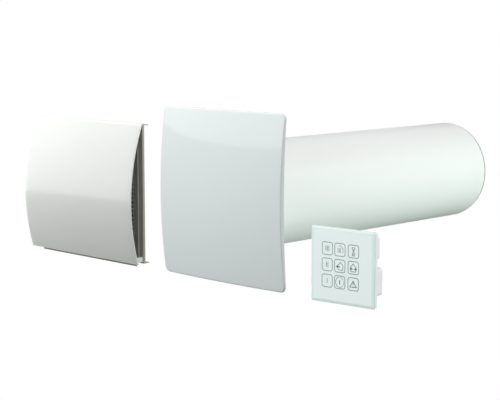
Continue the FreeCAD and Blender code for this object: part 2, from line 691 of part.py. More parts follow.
def control_housing():
    """The back box: shallower above the screw notches, deeper below them."""
    start = HOUSING_START
    half = HOUSING_HALF
    wall = HOUSING_WALL
    waist = half - 8
    upper_z = CONTROL_NOTCH_Z + 5.5
    lower_z = CONTROL_NOTCH_Z - 5.5
    body = fuse([
        rounded_block(-half, half, start, UPPER_BACK_Y, upper_z, HOUSING_TOP_Z, 4.0),
        rounded_block(-half, half, start, LOWER_BACK_Y, HOUSING_FOOT_Z, lower_z, 4.0),
        box(-waist, waist, start, UPPER_BACK_Y, lower_z - 4.5, upper_z + 4.5),
    ])
    inner = half - wall
    inner_waist = waist - wall
    upper_back = UPPER_BACK_Y - wall
    lower_back = LOWER_BACK_Y - wall
    room = fuse([
        box(-inner, inner, start - 1, upper_back, upper_z + 4, HOUSING_TOP_Z - wall),
        box(-inner_waist, inner_waist, start - 1, upper_back, lower_z - 6.5, upper_z + 6.5),
        box(-inner, inner, start - 1, lower_back, HOUSING_FOOT_Z + wall, lower_z - 4),
    ])
    port = box(-14, 14, lower_back - 2, LOWER_BACK_Y + 1, -28, -16)
    return body.cut([room, port])


def control_psu():
    """A board across the deep part of the back box, with its coil and capacitor behind it."""
    face = UPPER_BACK_Y - 15
    back = face + 1.4
    board = box(-28, 28, face, back, -31, -9)
    coil = box(-26, -14.5, back, back + 10, -29, -14)
    capacitor = rod_y(4.5, back, back + 11, 21, -20)
    return fuse([board, coil, capacitor])


def control_terminals():
    body = box(-13.5, 13.5, LOWER_BACK_Y - 8, LOWER_BACK_Y, -27.5, -16.5)
    entries = [rod_y(1.5, LOWER_BACK_Y - 5, LOWER_BACK_Y + 1, x, -22) for x in (-9.0, -3.0, 3.0, 9.0)]
    return body.cut(entries)


def control_clips():
    """Spring tabs above and below that grip the glass front to its frame."""
    clips = []
    for level in (-1, 1):
        z0, z1 = sorted((level * 40.0, level * 41.8))
        clips.append(box(-8, 8, GLASS_DEPTH + 0.05, GLASS_DEPTH + 2.8, z0, z1))
    return clips


# -------------------------------------------------------------------- assembly

def indoor_nodes():
    add("front_panel", front_panel())
    add("base_plate", base_plate())
    add("base_collar", base_collar())
    add("panel_sockets", *panel_sockets())
    seal_r = DUCT_R - DUCT_WALL - 0.1
    add("wall_spigot", ring_y(SPIGOT_R, SPIGOT_R - SPIGOT_WALL, -DUCT_RECESS_DEPTH, SPIGOT_LENGTH))
    add("spigot_seal", ring_y(seal_r, SPIGOT_R, 10, 30))
    add("cable_grommet", cable_grommet())
    add("wall_duct", ring_y(DUCT_R, DUCT_R - DUCT_WALL, 0.3, DUCT_LENGTH))
    shutters()
    add("shutter_actuator", shutter_actuator())
    add("finger_guard", finger_guard())
    add("fan_housing", fan_housing())
    add("impeller", impeller())
    add("fan_shaft", rod_y(SHAFT_R, FAN_Y + 7.5, FAN_Y + 38))
    add("rotor_magnets", ring_y(HUB_R - 2, 18.5, FAN_Y + 16, FAN_Y + 32))
    add("fan_bearings", *bearings())
    add("motor_stator", stator())
    add("flow_straightener", flow_straightener())
    add("cartridge_shell", cartridge_shell())
    add("indoor_filter", filter_disc(CARTRIDGE_Y + 2.5))
    add("ceramic_regenerator", regenerator())
    add("outdoor_filter", filter_disc(CARTRIDGE_END_Y - 6 - FILTER_DEPTH - 0.5))
    add("cartridge_end_grille", end_grille())
    add("cartridge_seals", *[ring_y(seal_r, CARTRIDGE_R, y, y + 8) for y in (156.0, 380.0)])
    add("electronics_box", electronics_box())
    add("electronics_lid", electronics_lid())
    add("lid_screws", *lid_screws())
    add("control_board", control_board())
    add("mains_terminals", terminal_block())
    add("humidity_sensor", humidity_sensor())


def placed(shape, position, yaw=0.0):
    copy = shape.copy()
    turn = FreeCAD.Rotation(V(0, 0, 1), yaw)
    copy.Placement = FreeCAD.Placement(position, turn).multiply(copy.Placement)
    return copy


def hood_nodes():
    position = V(HOOD_X, HOOD_Y, HOOD_Z)
    pieces = {
        "hood_cover": [hood_cover()],
        "hood_back_plate": [hood_back_plate()],
        "hood_spigot_flange": [spigot_flange()],
        "hood_spigot": [hood_spigot()],
        "hood_rivets": hood_rivets(),
        "hood_side_grilles": hood_side_grilles(),
        "hood_drip_lip": [drip_lip()],
        "hood_cover_brackets": cover_brackets(),
        "hood_gasket": [hood_gasket()],
    }
    for name, shapes in pieces.items():
        add(name, *[placed(shape, position) for shape in shapes])


def control_nodes():
    pieces = {
        "control_glass": [control_glass()],
        "control_frame": [control_frame()],
        "touch_board": [touch_board()],
        "control_clips": control_clips(),
        "control_housing": [control_housing()],
        "control_power_board": [control_psu()],
        "control_terminals": [control_terminals()],
    }
    for name, shapes in pieces.items():
        add(name, *[placed(shape, CONTROL_POSITION, CONTROL_YAW) for shape in shapes])


def main():
    indoor_nodes()
    hood_nodes()
    control_nodes()
    os.makedirs("parts", exist_ok=True)
    for name, shape in NODES.items():
        shape.exportStep("parts/" + name + ".step")
        print(name, len(shape.Solids), round(shape.Volume / 1000, 2), "cm3", shape.isValid())


main()
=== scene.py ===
"""Looks of a through-wall room ventilator with its outdoor hood and wall control.

Metres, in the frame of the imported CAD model: the origin is on the duct's axis at the face of
the room's wall, +Y runs outdoors, +Z is up and +X is to the right as seen from the room.
"""

import json
import math

import bpy
import bmesh
from mathutils import Matrix, Vector

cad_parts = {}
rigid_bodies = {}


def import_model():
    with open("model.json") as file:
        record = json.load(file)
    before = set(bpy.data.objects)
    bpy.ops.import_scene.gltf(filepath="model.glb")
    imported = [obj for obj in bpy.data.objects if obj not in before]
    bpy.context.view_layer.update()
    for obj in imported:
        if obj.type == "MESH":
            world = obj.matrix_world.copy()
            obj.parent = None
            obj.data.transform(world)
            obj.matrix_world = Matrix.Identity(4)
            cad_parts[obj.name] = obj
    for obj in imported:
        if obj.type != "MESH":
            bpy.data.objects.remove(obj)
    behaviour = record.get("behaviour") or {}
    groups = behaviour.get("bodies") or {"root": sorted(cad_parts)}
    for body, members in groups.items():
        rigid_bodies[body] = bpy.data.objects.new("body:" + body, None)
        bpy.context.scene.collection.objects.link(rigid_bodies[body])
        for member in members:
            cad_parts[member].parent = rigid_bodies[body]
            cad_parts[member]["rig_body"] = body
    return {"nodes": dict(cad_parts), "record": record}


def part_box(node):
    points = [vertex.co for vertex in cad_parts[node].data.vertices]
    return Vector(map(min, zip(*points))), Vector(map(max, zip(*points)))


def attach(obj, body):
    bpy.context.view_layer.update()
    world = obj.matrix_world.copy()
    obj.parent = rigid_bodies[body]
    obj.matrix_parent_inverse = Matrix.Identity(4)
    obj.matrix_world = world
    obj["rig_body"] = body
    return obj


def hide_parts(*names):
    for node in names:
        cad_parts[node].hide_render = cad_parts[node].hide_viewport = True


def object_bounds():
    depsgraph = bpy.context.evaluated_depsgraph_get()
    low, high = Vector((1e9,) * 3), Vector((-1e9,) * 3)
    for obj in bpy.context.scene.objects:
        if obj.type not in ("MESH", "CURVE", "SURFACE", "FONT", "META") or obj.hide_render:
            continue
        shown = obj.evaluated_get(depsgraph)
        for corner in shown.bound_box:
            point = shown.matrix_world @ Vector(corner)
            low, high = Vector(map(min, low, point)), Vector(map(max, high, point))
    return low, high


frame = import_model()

CAD_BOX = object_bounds()
MM = 0.001
NODES = frame["nodes"]

# ------------------------------------------------------------------ camera

CAMERA_AT = Vector((1.44812, -1.44351, 0.26985))
CAMERA_YAW = math.radians(44.483)
CAMERA_DOWN = math.radians(7.651)
LENS_MM = 100.9


def make_camera():
    data = bpy.data.cameras.new("camera")
    data.lens = LENS_MM
    data.sensor_width = 36.0
    data.sensor_fit = "HORIZONTAL"
    data.clip_start, data.clip_end = 0.05, 60.0
    camera = bpy.data.objects.new("camera", data)
    bpy.context.scene.collection.objects.link(camera)
    camera.location = CAMERA_AT
    ahead = Vector((
        -math.sin(CAMERA_YAW) * math.cos(CAMERA_DOWN),
        math.cos(CAMERA_YAW) * math.cos(CAMERA_DOWN),
        -math.sin(CAMERA_DOWN),
    ))
    camera.rotation_mode = "QUATERNION"
    camera.rotation_quaternion = ahead.to_track_quat("-Z", "Y")
    bpy.context.scene.camera = camera


# --------------------------------------------------------------- materials

class Shader:
    """A node material on one Principled shader, with object coordinates in metres."""

    def __init__(self, name, roughness, metallic=0.0, **sockets):
        self.material = bpy.data.materials.new(name)
        self.material.use_nodes = True
        self.tree = self.material.node_tree
        self.shader = self.tree.nodes["Principled BSDF"]
        self.shader.inputs["Roughness"].default_value = roughness
        self.shader.inputs["Metallic"].default_value = metallic
        for socket, value in sockets.items():
            self.shader.inputs[socket.replace("_", " ")].default_value = value
        self.place = self.node("ShaderNodeTexCoord").outputs["Object"]
        self.height = None

    def node(self, kind, **settings):
        made = self.tree.nodes.new(kind)
        for key, value in settings.items():
            if key in made.inputs.keys():
                made.inputs[key].default_value = value
            else:
                setattr(made, key, value)
        return made

    def link(self, out, into):
        self.tree.links.new(out, into)

    def stretched(self, scale):
        mapping = self.node("ShaderNodeMapping")
        mapping.inputs["Scale"].default_value = scale
        self.link(self.place, mapping.inputs["Vector"])
        return mapping.outputs["Vector"]

    def noise(self, scale, detail=3.0, roughness=0.5, stretch=None):
        made = self.node("ShaderNodeTexNoise", Scale=scale, Detail=detail, Roughness=roughness)
        self.link(self.stretched(stretch) if stretch else self.place, made.inputs["Vector"])
        return made.outputs["Fac"]

    def cells(self, scale):
        made = self.node("ShaderNodeTexVoronoi", Scale=scale, feature="SMOOTH_F1")
        self.link(self.place, made.inputs["Vector"])
        return made.outputs["Distance"]

    def spread(self, value, low, high, to_low, to_high):
        made = self.node("ShaderNodeMapRange")
        self.link(value, made.inputs["Value"])
        for key, number in (("From Min", low), ("From Max", high), ("To Min", to_low), ("To Max", to_high)):
            made.inputs[key].default_value = number
        return made.outputs["Result"]

    def contrast(self, value):
        """The middle of a noise's range, drawn out to 0 to 1."""
        return self.spread(value, 0.3, 0.7, 0.0, 1.0)

    def mix(self, factor, first, second):
        made = self.node("ShaderNodeMix", data_type="RGBA")
        self.link(factor, made.inputs[0])
        for index, colour in ((6, first), (7, second)):
            if hasattr(colour, "is_linked"):
                self.link(colour, made.inputs[index])
            else:
                made.inputs[index].default_value = (*colour, 1.0)
        return made.outputs[2]

    def mottled(self, value, colour, low, high):
        """A colour that drifts with a noise between two shades of itself."""
        return self.mix(self.contrast(value), shade(colour, low), shade(colour, high))

    def colour(self, out):
        self.link(out, self.shader.inputs["Base Color"])
        return self

    def roughness(self, value, low, high):
        self.link(self.spread(value, 0.25, 0.75, low, high), self.shader.inputs["Roughness"])
        return self

    def bump(self, value, strength, distance):
        made = self.node("ShaderNodeBump", Strength=strength, Distance=distance)
        self.link(value, made.inputs["Height"])
        if self.height:
            self.link(self.height, made.inputs["Normal"])
        self.height = made.outputs["Normal"]
        self.link(self.height, self.shader.inputs["Normal"])
        return self

    def worn(self, base, edge, low=0.52, high=0.62, share=0.5):
        """The colour of the base, with a trace of another colour along convex edges."""
        geometry = self.node("ShaderNodeNewGeometry")
        mask = self.spread(geometry.outputs["Pointiness"], low, high, 0.0, share)
        return self.mix(mask, base, edge)


def shade(colour, factor):
    return tuple(channel * factor for channel in colour)


def plastic(name, colour, roughness, grain=900.0, grain_height=0.00002, patch=7.0, spread=0.03,
            dust=(0.62, 0.6, 0.56), **sockets):
    made = Shader(name, roughness, **sockets)
    base = made.mottled(made.noise(patch, 4.0, 0.55), colour, 1 - spread, 1 + spread / 2)
    specks = made.spread(made.noise(310.0, 2.0, 0.6), 0.66, 0.8, 0.0, 0.18)
    base = made.mix(specks, base, dust)
    made.colour(made.worn(base, shade(colour, 0.86)))
    made.roughness(made.noise(38.0, 5.0, 0.6), roughness * 0.8, min(1.0, roughness * 1.25))
    return made.bump(made.noise(grain, 2.0, 0.5), 0.35, grain_height)


MATERIALS = {}


def make_materials():
    m = MATERIALS
    m["panel_gloss"] = panel_gloss()
    m["body_white"] = plastic("body_white", (0.83, 0.84, 0.83), 0.42, 1400.0, 0.00003)
    m["duct_white"] = duct_white()
    m["shutter_white"] = plastic("shutter_white", (0.76, 0.77, 0.76), 0.4, 1400.0, 0.00003)
    m["actuator_grey"] = plastic("actuator_grey", (0.11, 0.115, 0.12), 0.5, 1600.0, 0.00004, spread=0.1)
    m["fan_black"] = plastic("fan_black", (0.03, 0.03, 0.032), 0.45, 1600.0, 0.00004, spread=0.15)
    m["impeller_grey"] = plastic("impeller_grey", (0.05, 0.052, 0.055), 0.38, 1600.0, 0.00003, spread=0.12)
    m["steel"] = metal("steel", (0.6, 0.6, 0.61), 0.3, (1.0, 40.0, 1.0))
    m["magnet"] = metal("magnet", (0.17, 0.17, 0.18), 0.42, (8.0, 8.0, 8.0))
    m["winding"] = metal("winding", (0.62, 0.26, 0.11), 0.3, (1.0, 60.0, 1.0))
    m["seal_foam"] = foam("seal_foam", (0.055, 0.055, 0.06), 1100.0, 0.0005)
    m["grommet_rubber"] = plastic("grommet_rubber", (0.03, 0.03, 0.031), 0.62, 900.0, 0.00005, spread=0.2)
    m["cartridge_grey"] = plastic("cartridge_grey", (0.42, 0.44, 0.45), 0.45, 1500.0, 0.00004, spread=0.05)
    m["filter_foam"] = foam("filter_foam", (0.07, 0.075, 0.08), 520.0, 0.0012)
    m["ceramic"] = ceramic()
    m["circuit_board"] = circuit_board()
    m["terminal_green"] = plastic("terminal_green", (0.04, 0.3, 0.1), 0.4, 1500.0, 0.00003, spread=0.08)
    m["hood_paint"] = hood_paint("hood_paint", (0.818, 0.835, 0.808))
    # A grey sheet for the hood's back plate, made darker with painted shade where the cover shades the gap.
    m["hood_grey"] = hood_paint("hood_grey", (0.42, 0.41, 0.365))
    # A near-black grey for the hood's side grilles: painted shade for the gap under the cover.
    m["grille_grey"] = hood_paint("grille_grey", (0.14, 0.138, 0.122))
    m["galvanised"] = galvanised()
    m["glass_face"] = glass_face()
    m["glass_edge"] = plastic("glass_edge", (0.7, 0.83, 0.8), 0.12, 500.0, 0.00001, spread=0.02, Coat_Weight=1.0)
    m["glass_seam"] = plastic("glass_seam", (0.6, 0.71, 0.69), 0.15, 500.0, 0.00001, spread=0.02, Coat_Weight=1.0)
    m["back_painted_glass"] = m["glass_face"]
    m["control_white"] = plastic("control_white", (0.86, 0.86, 0.88), 0.36, 1300.0, 0.00002)
    # A dark grey on the duct's sawn end: painted shade that draws the dark line round the rim.
    m["sawn_edge"] = plastic("sawn_edge", (0.27, 0.28, 0.27), 0.6, 700.0, 0.00006, spread=0.08)
    m["print_dark"] = plastic("print_dark", (0.07, 0.1, 0.1), 0.5, 2500.0, 0.00001, spread=0.2)
    m["print"] = plastic("print", (0.16, 0.22, 0.22), 0.5, 2500.0, 0.00001, spread=0.2)


def panel_gloss():
    made = Shader("panel_gloss", 0.07, Coat_Weight=0.6, Coat_Roughness=0.03, IOR=1.5)
    colour = (0.779, 0.838, 0.837)
    base = made.mottled(made.noise(4.5, 3.0, 0.5), colour, 0.985, 1.015)
    specks = made.spread(made.noise(600.0, 2.0, 0.6), 0.5, 0.9, 0.0, 1.0)
    made.colour(made.mix(specks, base, shade(colour, 0.975)))
    made.roughness(made.noise(22.0, 5.0, 0.65), 0.05, 0.11)
    made.bump(made.noise(16.0, 2.0, 0.5), 0.15, 0.00005)
    return made.bump(made.noise(700.0, 2.0, 0.5), 0.1, 0.000003)


def duct_white():
    made = Shader("duct_white", 0.28, IOR=1.5)
    colour = (0.835, 0.864, 0.847)
    base = made.mottled(made.noise(5.0, 4.0, 0.5), colour, 0.985, 1.015)
    streaks = made.contrast(made.noise(30.0, 2.0, 0.5, stretch=(1.0, 0.03, 1.0)))
    base = made.mix(streaks, base, shade(colour, 0.99))
    specks = made.contrast(made.noise(110.0, 2.0, 0.6))
    made.colour(made.mix(specks, base, shade(colour, 0.99)))
    made.roughness(made.noise(12.0, 3.0, 0.5), 0.285, 0.345)
    return made.bump(made.noise(30.0, 1.0, 0.5, stretch=(1.0, 0.04, 1.0)), 0.1, 0.00003)


def hood_paint(name, colour):
    made = Shader(name, 0.22, Coat_Weight=0.55, Coat_Roughness=0.04, IOR=1.5)
    base = made.mottled(made.noise(5.0, 3.0, 0.5), colour, 0.985, 1.01)
    specks = made.contrast(made.noise(120.0, 2.0, 0.6))
    made.colour(made.mix(specks, base, shade(colour, 0.99)))
    made.roughness(made.noise(14.0, 3.0, 0.5), 0.17, 0.22)
    return made.bump(made.noise(160.0, 2.0, 0.5), 0.1, 0.00001)


def glass_face():
    made = Shader("glass_face", 0.04, Coat_Weight=1.0, Coat_Roughness=0.01, IOR=1.5)
    colour = (0.769, 0.856, 0.844)
    base = made.mottled(made.noise(9.0, 2.0, 0.5), colour, 0.99, 1.01)
    prints = made.spread(made.noise(46.0, 5.0, 0.7), 0.55, 0.75, 0.0, 0.05)
    made.colour(made.mix(prints, base, shade(colour, 0.9)))
    made.roughness(made.noise(60.0, 6.0, 0.7), 0.03, 0.09)
    return made.bump(made.noise(30.0, 2.0, 0.5), 0.1, 0.00001)


def metal(name, colour, roughness, stretch):
    made = Shader(name, roughness, 1.0)
    grain = made.noise(260.0, 4.0, 0.6, stretch=stretch)
    base = made.mottled(grain, colour, 0.85, 1.1)
    made.colour(made.worn(base, shade(colour, 1.2)))
    made.roughness(grain, roughness * 0.7, roughness * 1.4)
    return made.bump(grain, 0.3, 0.00002)


def galvanised():
    made = Shader("galvanised", 0.42, 1.0)
    spangle = made.node("ShaderNodeTexVoronoi", Scale=95.0)
    made.link(made.place, spangle.inputs["Vector"])
    tone = made.node("ShaderNodeSeparateColor")
    made.link(spangle.outputs["Color"], tone.inputs["Color"])
    base = made.mix(tone.outputs["Red"], (0.5, 0.52, 0.53), (0.68, 0.7, 0.71))
    stain = made.spread(made.noise(18.0, 5.0, 0.65), 0.55, 0.75, 0.0, 0.35)
    made.colour(made.mix(stain, base, (0.72, 0.72, 0.7)))
    made.link(made.spread(tone.outputs["Green"], 0.0, 1.0, 0.34, 0.52), made.shader.inputs["Roughness"])
    return made.bump(made.noise(500.0, 3.0, 0.5), 0.25, 0.00002)


def foam(name, colour, scale, depth):
    made = Shader(name, 0.92, Sheen_Weight=0.25, Sheen_Roughness=0.6)
    pores = made.cells(scale)
    # The pore hollows are painted darker than the cell walls: painted shade in the pores.
    base = made.mix(made.spread(pores, 0.1, 0.7, 0.0, 1.0), shade(colour, 0.35), shade(colour, 1.5))
    dusty = made.spread(made.noise(26.0, 5.0, 0.6), 0.45, 0.75, 0.0, 0.35)
    made.colour(made.mix(dusty, base, (0.26, 0.25, 0.23)))
    made.roughness(made.noise(90.0), 0.85, 1.0)
    return made.bump(pores, 0.9, depth)


def ceramic():
    made = Shader("ceramic", 0.85)
    colour = (0.7, 0.63, 0.52)
    base = made.mottled(made.noise(24.0, 5.0, 0.65), colour, 0.88, 1.06)
    grit = made.spread(made.noise(900.0, 2.0, 0.7), 0.6, 0.75, 0.0, 0.4)
    made.colour(made.mix(grit, base, (0.4, 0.33, 0.25)))
    made.roughness(made.noise(90.0), 0.78, 0.95)
    return made.bump(made.noise(1100.0, 3.0, 0.6), 0.6, 0.00008)


def circuit_board():
    made = Shader("circuit_board", 0.35, Coat_Weight=0.4)
    tracks = made.node("ShaderNodeTexBrick", Scale=90.0)
    tracks.inputs["Mortar Size"].default_value = 0.04
    tracks.inputs["Color1"].default_value = (0.012, 0.12, 0.045, 1)
    tracks.inputs["Color2"].default_value = (0.014, 0.1, 0.04, 1)
    tracks.inputs["Mortar"].default_value = (0.03, 0.2, 0.08, 1)
    made.link(made.stretched((1.0, 1.0, 0.4)), tracks.inputs["Vector"])
    haze = made.spread(made.noise(60.0, 4.0, 0.6), 0.4, 0.8, 0.0, 0.2)
    made.colour(made.mix(haze, tracks.outputs["Color"], (0.05, 0.18, 0.09)))
    made.roughness(made.noise(120.0), 0.28, 0.45)
    return made.bump(tracks.outputs["Fac"], 0.4, 0.00005)


# ------------------------------------------------------------------ meshes

RING_SEGMENTS, PIN_SEGMENTS, DUCT_SEGMENTS = 192, 48, 288


def make_piece(name, mesh, material, body, replaces=(), angle=35.0):
    """A new piece from a mesh in millimetres, smooth except at its sharp edges."""
    mesh.transform(Matrix.Scale(MM, 4))
    made = bpy.data.objects.new(name, mesh)
    bpy.context.scene.collection.objects.link(made)
    names = [material] if isinstance(material, str) else material
    for item in names:
        mesh.materials.append(MATERIALS[item].material)
    for polygon in mesh.polygons:
        polygon.use_smooth = True
    mesh.set_sharp_from_angle(angle=math.radians(angle))
    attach(made, body)
    if replaces:
        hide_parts(*replaces)
    return made


def skin(name, loops, cap_start=False, cap_end=False, closed=False, tags=None):
    """A mesh through loops of equal length; each loop joins the next one with quads."""
    mesh = bpy.data.meshes.new(name)
    count = len(loops[0])
    points = [point for loop in loops for point in loop]
    faces, marks = [], []
    pairs = [(i, i + 1) for i in range(len(loops) - 1)]
    if closed:
        pairs.append((len(loops) - 1, 0))
    for index, (low, high) in enumerate(pairs):
        for k in range(count):
            after = (k + 1) % count
            faces.append((low * count + k, low * count + after, high * count + after, high * count + k))
            marks.append(tags[index] if tags else 0)
    for wanted, row, flip in ((cap_start, 0, True), (cap_end, len(loops) - 1, False)):
        if wanted == "strip":
            for k in range(count // 2 - 1):
                low = row * count
                faces.append((low + k, low + k + 1, low + count - 2 - k, low + count - 1 - k))
                marks.append(tags[0 if flip else -1] if tags else 0)
        elif wanted:
            middle = len(points)
            ring = loops[row]
            points.append(tuple(sum(p[i] for p in ring) / count for i in range(3)))
            for k in range(count):
                a, b = row * count + k, row * count + (k + 1) % count
                faces.append((b, a, middle) if flip else (a, b, middle))
                marks.append(tags[0 if flip else -1] if tags else 0)
    mesh.from_pydata(points, [], faces)
    for polygon, mark in zip(mesh.polygons, marks):
        polygon.material_index = mark
    face_outwards(mesh)
    return mesh


def face_outwards(mesh):
    work = bmesh.new()
    work.from_mesh(mesh)
    bmesh.ops.recalc_face_normals(work, faces=work.faces)
    work.to_mesh(mesh)
    work.free()


def outline(width, height, radius, inset=0.0, corner=10, side=24):
    """Points round a rectangle with round corners, the same number whatever its size."""
    half_w, half_h = width / 2 - inset, height / 2 - inset
    r = max(radius - inset, 0.05)
    points = []
    centres = ((1, 1, 0), (-1, 1, 90), (-1, -1, 180), (1, -1, 270))
    for index, (sx, sz, start) in enumerate(centres):
        cx, cz = sx * (half_w - r), sz * (half_h - r)
        for step in range(corner + 1):
            angle = math.radians(start + 90.0 * step / corner)
            points.append((cx + r * math.cos(angle), cz + r * math.sin(angle)))
        nx, nz, turn = centres[(index + 1) % 4]
        last = points[-1]
        first = (
            nx * (half_w - r) + r * math.cos(math.radians(turn)),
            nz * (half_h - r) + r * math.sin(math.radians(turn)),
        )
        for step in range(1, side):
            share = step / side
            points.append((last[0] + (first[0] - last[0]) * share, last[1] + (first[1] - last[1]) * share))
    return points


def turned(profile, segments, x=0.0, z=0.0):
    """Loops about a line along Y, one for each (radius, y) point of a profile."""
    turns = [2 * math.pi * k / segments for k in range(segments)]
    return [[(x + radius * math.cos(turn), y, z + radius * math.sin(turn)) for turn in turns] for radius, y in profile]


def lathe(name, profile):
    """A ring about the Y axis, from a closed profile."""
    return skin(name, turned(profile, RING_SEGMENTS), closed=True)


def spun(name, profile, x, z):
    """A solid about a line along Y, from an open profile."""
    return skin(name, turned(profile, PIN_SEGMENTS, x, z), cap_start=True, cap_end=True)


def joined(name, meshes):
    work = bmesh.new()
    for mesh in meshes:
        work.from_mesh(mesh)
    made = bpy.data.meshes.new(name)
    work.to_mesh(made)
    work.free()
    return made


# ------------------------------------------------------------- front panel

PANEL_WIDTH, PANEL_HEIGHT, PANEL_Z, PANEL_CORNER = 250.0, 253.2, 3.2, 9.0
PANEL_WALL, PANEL_FRONT, PANEL_RIM = 2.7, -41.0, -29.0
PANEL_BOWS, RIM_BOWS = (5.0, 10.0), (0.5, 5.5)
PIN_X, PIN_Z = 82.0, 94.0


def rise(half_chord, bow, at):
    radius = (half_chord * half_chord + bow * bow) / (2 * bow)
    return radius - math.sqrt(radius * radius - at * at)


def bowed(front, bows, x, z):
    return front + rise(PANEL_WIDTH / 2, bows[0], x) + rise(PANEL_HEIGHT / 2, bows[1], z)


def panel_loop(inset, front, bows, share=1.0, back=0.0):
    ring = outline(PANEL_WIDTH, PANEL_HEIGHT, PANEL_CORNER, inset, 12, 36)
    return [(x * share, bowed(front, bows, x * share, z * share) + back, z * share + PANEL_Z) for x, z in ring]


def front_panel():
    fillet, face_loops, back_loops = 1.6, 40, 24
    loops = [panel_loop(fillet, PANEL_FRONT, PANEL_BOWS, (i + 1) / face_loops) for i in range(face_loops)]
    for step in range(1, 7):
        angle = math.radians(15 * step)
        loops.append(panel_loop(fillet * (1 - math.sin(angle)), PANEL_FRONT, PANEL_BOWS, 1.0,
                                fillet * (1 - math.cos(angle))))
    edge = 0.6
    loops.append(panel_loop(0.0, PANEL_RIM, RIM_BOWS, 1.0, -edge))
    loops.append(panel_loop(0.18, PANEL_RIM, RIM_BOWS, 1.0, -0.18))
    loops.append(panel_loop(edge, PANEL_RIM, RIM_BOWS))
    loops.append(panel_loop(PANEL_WALL - edge, PANEL_RIM, RIM_BOWS))
    loops.append(panel_loop(PANEL_WALL - 0.15, PANEL_RIM, RIM_BOWS, 1.0, -0.15))
    loops.append(panel_loop(PANEL_WALL, PANEL_RIM, RIM_BOWS, 1.0, -edge))
    inner = PANEL_FRONT + PANEL_WALL
    for step in range(6):
        angle = math.radians(15 * step)
        loops.append(panel_loop(PANEL_WALL + fillet * (1 - math.cos(angle)), inner, PANEL_BOWS, 1.0,
                                fillet * (1 - math.sin(angle))))
    shares = [(back_loops - i) / back_loops for i in range(back_loops)]
    loops += [panel_loop(PANEL_WALL + fillet, inner, PANEL_BOWS, share) for share in shares]
    mesh = skin("panel_shell", loops, cap_start=True, cap_end=True)
    return make_piece("panel_shell", mesh, "panel_gloss", "front_panel", ["front_panel"], 50.0)


def panel_pins():
    profile = [
        (6.6, -31.5), (6.4, -30.0), (6.0, -29.6), (6.0, -25.6), (5.8, -25.0), (5.3, -24.8), (3.5, -24.8),
        (3.1, -24.6), (3.0, -24.2), (3.0, -10.0), (2.8, -9.0), (2.2, -8.2), (1.4, -8.0),
    ]
    pins = [spun("pin", profile, sx * PIN_X, sz * PIN_Z) for sx in (-1, 1) for sz in (-1, 1)]
    return make_piece("panel_pins", joined("panel_pins", pins), "panel_gloss", "front_panel")


# -------------------------------------------------------------------- duct

def duct_tube():
    outer, inner, start, end = 80.0, 77.0, 0.3, 520.0
    profile = [
        (inner + 0.3, start), (outer - 0.4, start), (outer - 0.1, start + 0.12), (outer, start + 0.4),
        (outer, end - 3.8), (outer - 0.12, end - 3.3), (outer - 0.9, end - 0.3), (outer - 1.3, end),
        (inner + 0.8, end), (inner + 0.3, end - 0.15), (inner, end - 0.6), (inner, start + 0.3),
    ]
    tags = [0] * 4 + [1] * 6 + [0] * 2  # 1 is the sawn end, a dark grey that paints the shade along the rim
    mesh = skin("duct_tube", turned(profile, DUCT_SEGMENTS), closed=True, tags=tags)
    return make_piece("duct_tube", mesh, ["duct_white", "sawn_edge"], "indoor_unit", ["wall_duct"], 30.0)


# -------------------------------------------------------------------- hood

HOOD_AT = Vector((-326.8, -13.4, -12.8))
HOOD_HALF_WIDTH = 135.5
HOOD_SHEET = 1.5
HOOD_TOP, HOOD_MIDDLE, HOOD_FOOT = (0.0, 110.6), (-24.5, 0.0), (-11.0, -110.6)


def circle_through(a, b, c):
    """The centre and radius of the circle through three points in a plane."""
    turn = 2 * (a[0] * (b[1] - c[1]) + b[0] * (c[1] - a[1]) + c[0] * (a[1] - b[1]))
    aa, bb, cc = (p[0] * p[0] + p[1] * p[1] for p in (a, b, c))
    centre = (
        (aa * (b[1] - c[1]) + bb * (c[1] - a[1]) + cc * (a[1] - b[1])) / turn,
        (aa * (c[0] - b[0]) + bb * (a[0] - c[0]) + cc * (b[0] - a[0])) / turn,
    )
    return centre, math.dist(centre, a)


def bent_sheet(name, outer, inner, x0, x1, edge=0.35):
    """A sheet along X from the (y, z) paths of its two faces, with its side edges broken."""
    def ring(x, squeeze):
        front = [(x, o[0] + (i[0] - o[0]) * squeeze, o[1] + (i[1] - o[1]) * squeeze) for o, i in zip(outer, inner)]
        back = [(x, i[0] + (o[0] - i[0]) * squeeze, i[1] + (o[1] - i[1]) * squeeze) for o, i in zip(outer, inner)]
        return front + back[::-1]

    ends = ((0.0, 0.24), (0.1 * edge, 0.12), (0.4 * edge, 0.03), (edge, 0.0))
    loops = [ring(x0 + step, squeeze) for step, squeeze in ends]
    loops += [ring(x0 + (x1 - x0) * k / 24, 0.0) for k in range(1, 24)]
    loops += [ring(x1 - step, squeeze) for step, squeeze in ends[::-1]]
    return skin(name, loops, cap_start="strip", cap_end="strip")


def hood_cover():
    centre, radius = circle_through(HOOD_TOP, HOOD_MIDDLE, HOOD_FOOT)
    outer = [(4.0, 110.3), (3.8, 110.6), (2.4, 110.6), (1.1, 110.6), (0.5, 110.45), (0.18, 110.0)]
    inner = [(4.0, 109.4), (3.8, 109.1), (2.6, 109.1), (2.0, 109.1), (1.85, 109.0), (1.8, 108.9)]
    high, low, steps = 109.4, HOOD_FOOT[1], 72
    share = HOOD_SHEET / radius
    for step in range(steps + 1):
        z = high + (low - high) * step / steps
        y = centre[0] - math.sqrt(radius * radius - (z - centre[1]) ** 2)
        outer.append((y, z))
        inner.append((y + (centre[0] - y) * share, z + (centre[1] - z) * share))
    mesh = bent_sheet("hood_cover_sheet", outer, inner, -HOOD_HALF_WIDTH, HOOD_HALF_WIDTH)
    mesh.transform(Matrix.Translation(HOOD_AT))
    return make_piece("hood_cover_sheet", mesh, "hood_paint", "hood", ["hood_cover"], 40.0)


# ----------------------------------------------------------------- control

